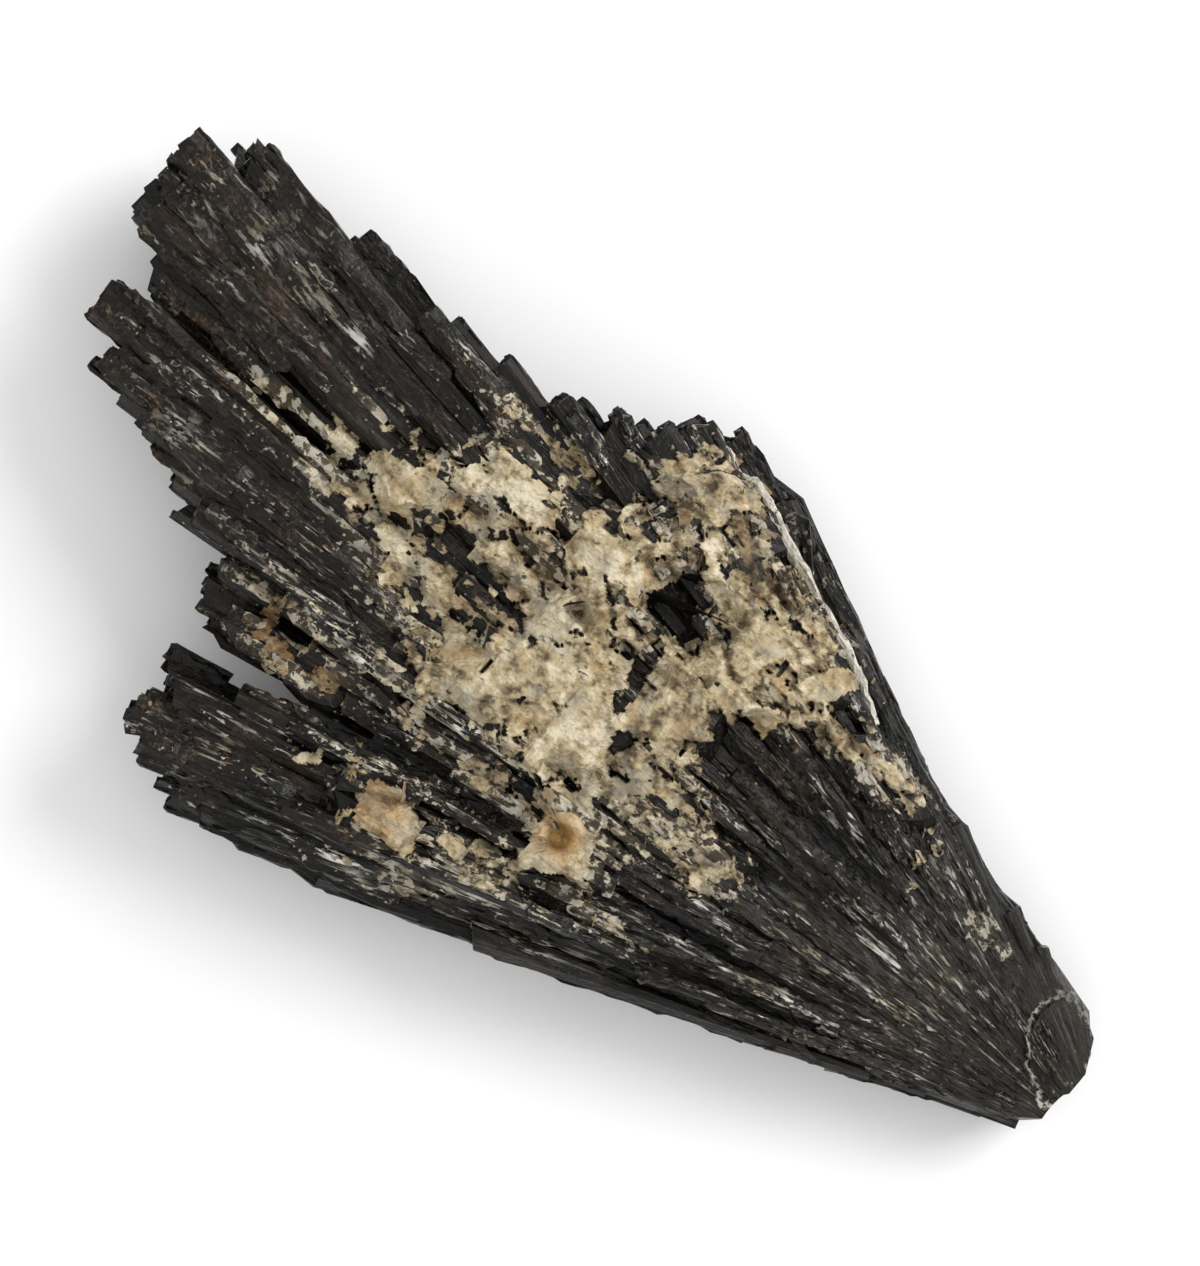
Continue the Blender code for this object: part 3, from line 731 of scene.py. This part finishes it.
def makeCrust():
    (x0, y0), (x1, y1) = sheetLook["near"], sheetLook["far"]
    columns = int((x1 - x0) / sheetLook["step"])
    rows = int((y1 - y0) / sheetLook["step"])
    deselectAll()
    bpy.ops.mesh.primitive_grid_add(x_subdivisions=columns, y_subdivisions=rows, size=1.0,
                                    location=(0.0, 0.0, 0.0))
    obj = bpy.context.active_object
    obj.name = "matrix_crust"
    coords = coordsOf(obj.data)
    across, along = rows + 1, columns + 1
    coords[:, 0] = growthCentre.x + (x0 + (coords[:, 0] + 0.5) * (x1 - x0)) * mm
    coords[:, 1] = growthCentre.y + (y0 + (coords[:, 1] + 0.5) * (y1 - y0)) * mm
    hits = [dropOnto(Vector((x, y, rayStart))) for x, y, z in coords]
    outside = np.array([hit is None for hit in hits])
    heights = np.array([0.0 if hit is None else hit.z for hit in hits])
    soft = blurred(heights.reshape(across, along), sheetLook["blur"]).ravel()
    near = blurred(outside.reshape(across, along).astype(float), sheetLook["margin"]).ravel() > 0.01
    angles = np.degrees(np.arctan2(coords[:, 1] - growthCentre.y, coords[:, 0] - growthCentre.x))
    near |= np.abs(angles) > sheetLook["spread"]
    depth, tone, shade, top, swell, whole, stain = np.zeros((7, len(coords)))
    for k, (x, y, z) in enumerate(coords):
        distance, offset = fromCentre(x, y)
        stain[k] = stainAt(distance, offset)
        depth[k], thickness, tone[k], shade[k], stand, whole[k] = crustAt(distance, offset)
        if near[k] or depth[k] <= sheetLook["hem"]:
            top[k] = soft[k] - sheetLook["sunk"] * mm
            continue
        place = Vector((distance, offset, 0.0))
        cells, centres = noise.voronoi(place / sheetLook["grain"])
        grain = sheetLook["grainRise"] * (0.7 * noise.cell(centres[0] * 7.3) - 0.6 * cells[0])
        grain += 0.5 * sheetLook["grainRise"] * noise.noise(place / 0.22)
        lump = sheetLook["lumpRise"] * noise.fractal(place / sheetLook["lump"], 1.0, 2.0, 3)
        level = place / sheetLook["ledge"] + Vector((7.0, 1.0, 4.0))
        level = 2.5 * noise.fractal(level, 1.0, 2.0, 2)
        level = math.floor(level) + smooth((level % 1.0 - 0.35) / 0.3)
        lump += sheetLook["ledgeRise"] * level / 2.5
        grain *= 1.0 - 0.3 * whole[k]  # slabs are smoother
        lump *= 1.0 - 0.4 * whole[k]
        swell[k] = lump + 0.5 * grain
        lump += sheetLook["plateRise"] * stand
        rise = smooth(depth[k] / sheetLook["edge"] + 0.5)
        raised = (thickness + grain + lump) * rise - sheetLook["sunk"] * (1 - rise)
        top[k] = soft[k] + raised * mm
    coords[:, 2] = np.minimum(top, highest)
    setCoords(obj.data, coords)
    for name, values in (("swell", swell), ("slab", whole), ("tone", tone), ("plateShade", shade),
                         ("depth", depth), ("stain", stain)):
        setAttribute(obj.data, name, values)
    makeActive(obj)
    bpy.ops.object.mode_set(mode="OBJECT")
    keep = (depth > sheetLook["hem"]) & ~near
    for vertex, kept in zip(obj.data.vertices, keep):
        vertex.select = not kept
    for edge in obj.data.edges:
        edge.select = False
    for face in obj.data.polygons:
        face.select = False
    bpy.ops.object.mode_set(mode="EDIT")
    bpy.ops.mesh.select_mode(type="VERT")
    bpy.ops.mesh.delete(type="VERT")
    bpy.ops.object.mode_set(mode="OBJECT")
    wall = obj.modifiers.new("wall", "SOLIDIFY")
    wall.thickness = sheetLook["wall"] * mm
    wall.offset = -1.0
    wall.use_even_offset = False
    bpy.ops.object.modifier_apply(modifier=wall.name)
    coords = coordsOf(obj.data)  # the wall stays inside the fan
    furthest = (coords[:, 0] - growthCentre.x) * math.tan(math.radians(sheetLook["spread"]))
    coords[:, 1] = growthCentre.y + np.clip(coords[:, 1] - growthCentre.y, -furthest, furthest)
    setCoords(obj.data, coords)
    return obj


crust = makeCrust()
crust.data.name = crust.name
print("crust:", len(crust.data.polygons), "faces")


class Wire:
    # The output of a shader node. Arithmetic on wires adds Math nodes.
    def __init__(self, tree, socket):
        self.tree = tree
        self.socket = socket

    def node(self, kind, settings, values, output=0):
        made = self.tree.nodes.new(kind)
        for name, value in settings.items():
            if name == "stops":
                while len(made.color_ramp.elements) < len(value):
                    made.color_ramp.elements.new(0.5)
                for element, (position, shade) in zip(made.color_ramp.elements, value):
                    element.position = position
                    element.color = (*shade, 1.0)
            else:
                setattr(made, name, value)
        for name, value in values.items():
            if isinstance(value, Wire):
                self.tree.links.new(value.socket, made.inputs[name])
            else:
                made.inputs[name].default_value = value
        return Wire(self.tree, made.outputs[output])

    def maths(self, operation, other=0.0, clamp=False):
        settings = {"operation": operation, "use_clamp": clamp}
        return self.node("ShaderNodeMath", settings, {0: self, 1: other})

    def __add__(self, other):
        return self.maths("ADD", other)

    def __mul__(self, other):
        return self.maths("MULTIPLY", other)

    def __sub__(self, other):
        return self.maths("SUBTRACT", other)

    def __truediv__(self, other):
        return self.maths("DIVIDE", other)

    def __pow__(self, other):
        return self.maths("POWER", other)

    def __rsub__(self, other):
        return self * -1.0 + other

    __radd__ = __add__
    __rmul__ = __mul__

    def clamped(self):
        return self.maths("ADD", 0.0, True)

    def step(self, low, high):
        # Smooth from 0 at low to 1 at high. It falls where low is over high.
        values = {"Value": self, "From Min": low, "From Max": high, "To Min": 0.0, "To Max": 1.0}
        return self.node("ShaderNodeMapRange", {"interpolation_type": "SMOOTHSTEP"}, values)

    def noise(self, scale, detail=2.0, roughness=0.5):
        values = {"Vector": self, "Scale": scale, "Detail": detail, "Roughness": roughness}
        return self.node("ShaderNodeTexNoise", {}, values)

    def cells(self, scale, output=0):
        # Output 0 is the distance to the cell's middle, and output 1 its colour.
        return self.node("ShaderNodeTexVoronoi", {}, {"Vector": self, "Scale": scale}, output)

    def ramp(self, *stops):
        return self.node("ShaderNodeValToRGB", {"stops": stops}, {"Fac": self})

    def part(self, number):
        return self.node("ShaderNodeSeparateXYZ", {}, {"Vector": self}, number)


def mixed(factor, first, second):
    # Mixes two colours: each is a wire or three numbers.
    values = {0: factor}
    for number, shade in ((6, first), (7, second)):
        values[number] = shade if isinstance(shade, Wire) else (*shade, 1.0)
    return factor.node("ShaderNodeMix", {"data_type": "RGBA", "clamp_result": True}, values, 2)


def newMaterial(name):
    material = bpy.data.materials.new(name)
    material.use_nodes = True
    shader = next(node for node in material.node_tree.nodes if node.type == "BSDF_PRINCIPLED")
    return material, shader, Wire(material.node_tree, None)


def attributes(start, *names):
    return [start.node("ShaderNodeAttribute", {"attribute_name": name}, {}, 2) for name in names]


def polar(start):
    # The place in millimetres from the growth centre, and its radius and arc there.
    place = start.node("ShaderNodeTexCoord", {}, {}, 3)
    x = (place.part(0) - growthCentre.x) * (1 / mm)
    y = (place.part(1) - growthCentre.y) * (1 / mm)
    z = place.part(2) * (1 / mm)
    radius = (x * x + y * y) ** 0.5
    arc = y.maths("ARCTAN2", x) * fanMiddle
    return x, y, z, radius, arc


def vector(x, y, z):
    return x.node("ShaderNodeCombineXYZ", {}, {"X": x, "Y": y, "Z": z})


def linkShader(shader, colour, roughness, height, bump):
    # Where height is 1, the surface stands bump metres higher.
    normal = height.node("ShaderNodeBump", {}, {"Height": height, "Strength": 1.0, "Distance": bump})
    for wire, name in ((colour, "Base Color"), (roughness.clamped(), "Roughness"), (normal, "Normal")):
        wire.tree.links.new(wire.socket, shader.inputs[name])


stoneLook = {
    "dark": (0.0028, 0.0024, 0.0019),
    "mid": (0.014, 0.0118, 0.0088),
    "silverHighlight": (0.68, 0.65, 0.58),
    "strawHighlight": (0.48, 0.43, 0.31),
    "brown": (0.034, 0.021, 0.011),
    "tipSheen": (0.065, 0.060, 0.050),
    "rust": (0.15, 0.070, 0.026),
    "crumb": (0.56, 0.49, 0.35),
    "crumbDark": (0.24, 0.180, 0.105),
    "crumbGrey": (0.42, 0.395, 0.34),
    "pale": (0.6, 0.56, 0.48),
    "creviceShade": (0.0012, 0.0011, 0.0009),
    "glint": (0.85, 0.84, 0.8),
    "bump": 0.00012,  # metres that the striations are deep
    "gloss": 0.17,
    "refraction": 1.6,
    # Zones in millimetres from the growth centre: where each sets in, and where it is full.
    "bareStone": (7.0, 13.0),  # bare stone between the blades gets painted hollow shade too
    "thinLines": (18.0, 32.0),
    "brownEnds": (42.0, 60.0),
    "tipSheenZone": (36.0, 8.0),
    "strewnFrom": (32.0, 40.0),
    "strewnTo": (57.0, 47.0),
    "chip": (5.9, -2.4),  # centre of the oval chip at the tip
    "chipSize": (2.75, 1.6),
    "chipTurn": -48.5,  # degrees
}


def blackKyanite():
    material, shader, start = newMaterial("black_kyanite")
    x, y, z, radius, arc = polar(start)
    crest, tone, dust, pale, stain = attributes(start, "crest", "tone", "dust", "pale", "stain")
    blade, hollow = attributes(start, "blade", "hollow")
    spot = vector(x, y, z)
    broad = vector(radius * 0.1, arc * 0.9, z * 0.9).noise(1.0, 2.0)
    streak = vector(radius * 0.20 + tone * 9.0, arc * 3.2, z * 3.2).noise(1.0, 3.0, 0.6)
    fine = vector(radius * 0.55 + tone * 5.0, arc * 7.0, z * 7.0).noise(1.0, 2.0, 0.6)
    blotch = vector(radius * 1.5, arc * 3.2, z * 3.2).noise(1.0, 3.0, 0.6)
    thin = vector(radius * 0.50 + tone * 7.0, arc * 5.4, z * 5.4).noise(1.0, 3.0, 0.6)
    wide = vector(radius * 0.55 + tone * 7.0, arc * 2.3, z * 3.4).noise(1.0, 3.0, 0.6)
    outer = radius.step(*stoneLook["thinLines"])
    line = thin * outer + wide * (1.0 - outer)
    # Bare stone lies low between the blades, so it gets painted hollow shade too.
    bare = (1.0 - blade) * radius.step(*stoneLook["bareStone"])
    hollow = (hollow + bare * 0.45).clamped()
    grit = spot.noise(3.6, 3.0, 0.65)
    slow = spot.noise(0.35, 2.0)

    colour = mixed((streak * 0.6 + fine * 0.4).step(0.42, 0.7), stoneLook["dark"], stoneLook["mid"])
    ends = radius.step(*stoneLook["brownEnds"])
    brownish = (broad.step(0.52, 0.74) * 0.5 + ends * grit.step(0.48, 0.62) * 0.5).clamped()
    colour = mixed(brownish, colour, stoneLook["brown"])
    rusty = (slow.step(0.56, 0.68) * 0.5 + stain).clamped() * grit.step(0.5, 0.6)
    colour = mixed(rusty * 0.6, colour, stoneLook["rust"])
    # Painted sheen: the stone is lighter towards the tip.
    tipSheen = radius.step(*stoneLook["tipSheenZone"]) * fine.step(0.3, 0.75)
    colour = mixed(tipSheen * 0.5, colour, stoneLook["tipSheen"])
    # Painted highlights: silver and straw dashes on the blades' crests, weaker in the hollows.
    cluster = vector(radius * 0.16 + 3.0, arc * 0.55, z * 0.55).noise(1.0, 2.0, 0.6)
    dashes = (line + cluster * 0.45 - 0.785).step(0.0, 0.08) * (blotch * 2.0 + cluster * 0.8 - 0.6)
    paintedHighlight = (dashes * (crest * 1.15 + 0.1) * (1.0 - hollow * 0.85)).clamped()
    paintedHighlight = paintedHighlight * (1.0 - ends * 0.45)
    sheen = mixed(slow.step(0.42, 0.6), stoneLook["silverHighlight"], stoneLook["strawHighlight"])
    colour = mixed(paintedHighlight, colour, sheen)
    turned = math.radians(stoneLook["chipTurn"])
    across, up = x - stoneLook["chip"][0], y - stoneLook["chip"][1]
    longWay = (across * math.cos(turned) + up * math.sin(turned)) / stoneLook["chipSize"][0]
    shortWay = (up * math.cos(turned) - across * math.sin(turned)) / stoneLook["chipSize"][1]
    wander = spot.noise(0.8, 3.0, 0.6)
    ring = (longWay * longWay + shortWay * shortWay) ** 0.5
    ring = (ring + wander * 0.9 - 1.45).maths("ABSOLUTE")
    ringed = (1.0 - ring.step(0.0, grit.step(0.35, 0.65) * 0.12 + 0.02)) * z.step(3.5, 4.5)
    ringed = ringed * (shortWay * 0.4 - longWay * 0.5 + grit * 1.5 + 0.12).clamped()
    colour = mixed((ringed * 0.9).clamped(), colour, stoneLook["pale"])

    crumb = spot.noise(1.9, 3.0, 0.55)
    lie = (crumb + dust * 0.26 + line * 0.20 - 0.8).step(0.0, 0.08) * dust.step(0.1, 0.4)
    around = radius.step(*stoneLook["strewnFrom"]) * radius.step(*stoneLook["strewnTo"]) + 0.25
    strewn = (spot.noise(2.6, 2.0) + cluster * 0.25 + crest * 0.14 - 0.845).step(0.0, 0.05) * around
    lie = (lie + strewn).clamped()
    light = spot.noise(1.7, 3.0).step(0.42, 0.6)
    crumbShade = mixed(light, stoneLook["crumbDark"], stoneLook["crumb"])
    crumbShade = mixed(slow.step(0.4, 0.56) * 0.7, crumbShade, stoneLook["crumbGrey"])
    colour = mixed(dust.step(0.5, 1.0) * 0.16, colour, stoneLook["crumbDark"])
    colour = mixed(lie * 0.92, colour, crumbShade)
    # Painted highlight on the pale, bright rim of the crown.
    colour = mixed((pale * grit.step(0.28, 0.44)).clamped(), colour, stoneLook["pale"])
    # Painted shade in the hollows between the blades.
    colour = mixed(hollow * (0.72 - dust * 0.3), colour, stoneLook["creviceShade"])
    chosen = spot.cells(2.3, 1).part(2).step(0.87, 0.89)
    sparkle = (1.0 - (spot.cells(2.3) + grit * 0.45).step(0.24, 0.4)) * chosen
    sparkle = sparkle * (cluster * 3.0 - 0.9).clamped()
    colour = mixed(sparkle * 0.7, colour, stoneLook["glint"])

    roughness = 0.20 + fine * 0.16 + grit.step(0.45, 0.65) * 0.14 + lie * 0.35 + pale * 0.2
    height = streak * 0.5 + fine * 0.4 + grit * 0.5 + blotch * 0.6 + lie * 0.5
    linkShader(shader, colour, roughness, height, stoneLook["bump"])
    shader.inputs["IOR"].default_value = stoneLook["refraction"]
    shader.inputs["Specular IOR Level"].default_value = stoneLook["gloss"]
    return material


matrixLook = {
    "shades": ((0.2, (0.075, 0.054, 0.030)), (0.32, (0.18, 0.138, 0.078)),
               (0.43, (0.32, 0.254, 0.148)), (0.56, (0.42, 0.343, 0.214)),
               (0.74, (0.6, 0.53, 0.385))),
    "black": (0.022, 0.018, 0.013),
    "rim": (0.1, 0.078, 0.052),
    "warm": (0.4, 0.29, 0.15),
    "grey": (0.34, 0.32, 0.25),
    "stain": (0.5, 0.27, 0.09),
    "golden": (0.17, 0.088, 0.014),
    "bump": 0.00018,  # metres
    "gloss": 0.3,
}


def paleMatrix():
    material, shader, start = newMaterial("pale_matrix")
    x, y, z, radius, arc = polar(start)
    tone, shade, swell = attributes(start, "tone", "plateShade", "swell")
    depth, stain, slab = attributes(start, "depth", "stain", "slab")
    spot = vector(x, y, z)
    speckle = spot.noise(2.1, 3.0, 0.6)
    fleck = vector(radius * 0.9 + 5.0, arc * 2.0, z * 2.0).noise(1.0, 3.0, 0.6)
    cloud = spot.noise(0.42, 2.0)
    patch = vector(x + 20.0, y, z).noise(1.3, 4.0, 0.6)
    # Lighter where the crust swells higher.
    shading = cloud * 1.0 + patch * 1.2 + speckle * 0.8 + shade * 0.09 + swell * 0.30 - 1.035
    base = (shading - (tone - 0.25) * 0.34 + slab * 0.03).ramp(*matrixLook["shades"])
    edge = 1.0 - depth.step(-0.05, 0.45)
    # Black flecks, and darker in the crust's low places.
    darkening = ((fleck + edge * 0.16 - 0.66).step(0.0, 0.06) + (0.36 - speckle).step(0.0, 0.06) * 0.7
            + (-0.20 - swell).step(0.0, 0.14) * 0.5).clamped() * (1.0 - slab * 0.45)
    # Brown along the plates' edges: partly the thin crust's own colour, partly painted shade between
    # the plates.
    edging = (1.0 - depth.step(0.0, 0.3)) * (1.0 - slab * 0.6)
    base = mixed(edging * speckle.step(0.36, 0.6) * 0.85, base, matrixLook["rim"])
    warm = vector(x + 9.0, y, z).noise(0.5, 3.0).step(0.5, 0.66)
    base = mixed(warm * 0.5, base, matrixLook["warm"])
    grey = vector(x, y + 30.0, z).noise(0.6, 3.0).step(0.52, 0.64)
    base = mixed(grey * 0.5, base, matrixLook["grey"])
    base = mixed(darkening * 0.92, base, matrixLook["black"])
    stained = (stain * 1.6 + speckle * 0.8 - 0.5).clamped()
    stained = (stained + spot.noise(0.8, 2.0).step(0.6, 0.72) * 0.4).clamped()
    base = mixed(stained * (1.0 - darkening) * 0.62, base, matrixLook["stain"])
    base = mixed(stain.step(0.5, 0.8) * (speckle + 0.42).clamped(), base, matrixLook["golden"])
    height = speckle + fleck * 0.7 + spot.cells(4.2) * 0.4
    linkShader(shader, base, 0.55 + speckle * 0.3, height, matrixLook["bump"])
    shader.inputs["Specular IOR Level"].default_value = matrixLook["gloss"]
    return material


stoneMaterial = blackKyanite()
matrixMaterial = paleMatrix()
for piece, finish in ((fanNode, stoneMaterial), (topFacing, stoneMaterial),
                      (otherBlades, stoneMaterial), (crust, matrixMaterial)):
    if not piece.material_slots:
        piece.data.materials.append(finish)
    for slot in piece.material_slots:
        slot.material = finish
for piece in (topFacing, otherBlades, crust):
    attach(piece, "root")
print("materials ready")

# Floor, light and camera.
stageLook = {
    "floorSize": 3.0,  # metres
    "floorColour": (0.92, 0.92, 0.92),
    "floorRoughness": 0.9,
    "floorGloss": 0.1,
    "skyStrength": 0.92,
    "keyPlace": (0.8, 0.4),  # metres to the picture's right and up
    "keyHeight": 0.7,
    "keySize": 0.6,
    "keyPower": 9.0,
    "lens": 200.0,  # millimetres, as the sensor is
    "sensor": 36.0,
    "pictureHeight": 62.8,  # millimetres that the picture is high at the middle of the stone
    "aim": (0.42, -4.21, 5.5),  # millimetres
    "turn": 221.5,  # degrees that the picture's right lies from +X
}

deselectAll()
bpy.ops.mesh.primitive_plane_add(size=stageLook["floorSize"], location=(0.0, 0.0, 0.0))
floor = bpy.context.active_object
floor.name = "floor"
floorMaterial, shader, start = newMaterial("pale_floor")
shader.inputs["Base Color"].default_value = (*stageLook["floorColour"], 1.0)
shader.inputs["Roughness"].default_value = stageLook["floorRoughness"]
shader.inputs["Specular IOR Level"].default_value = stageLook["floorGloss"]
floor.data.materials.append(floorMaterial)

world = bpy.data.worlds.new("studio")
bpy.context.scene.world = world
world.use_nodes = True
background = next(node for node in world.node_tree.nodes if node.type == "BACKGROUND")
background.inputs["Color"].default_value = (1.0, 1.0, 1.0, 1.0)
background.inputs["Strength"].default_value = stageLook["skyStrength"]

aim = Vector(stageLook["aim"]) * mm
turn = Matrix.Rotation(math.radians(stageLook["turn"]), 3, "Z")
keyData = bpy.data.lights.new("key", "AREA")
keyData.size = stageLook["keySize"]
keyData.energy = stageLook["keyPower"]
key = bpy.data.objects.new("key", keyData)
bpy.context.scene.collection.objects.link(key)
key.location = aim + turn @ Vector((*stageLook["keyPlace"], stageLook["keyHeight"]))
key.rotation_euler = (key.location - aim).to_track_quat("Z", "Y").to_euler()

cameraData = bpy.data.cameras.new("camera")
camera = bpy.data.objects.new("camera", cameraData)
bpy.context.scene.collection.objects.link(camera)
cameraData.lens = stageLook["lens"]
cameraData.sensor_width = stageLook["sensor"]
away = stageLook["pictureHeight"] * mm * stageLook["lens"] / stageLook["sensor"]
camera.location = aim + Vector((0.0, 0.0, away))
camera.rotation_euler = (0.0, 0.0, math.radians(stageLook["turn"]))
bpy.context.scene.camera = camera
bpy.context.scene.view_settings.view_transform = "Standard"
print("stage ready")
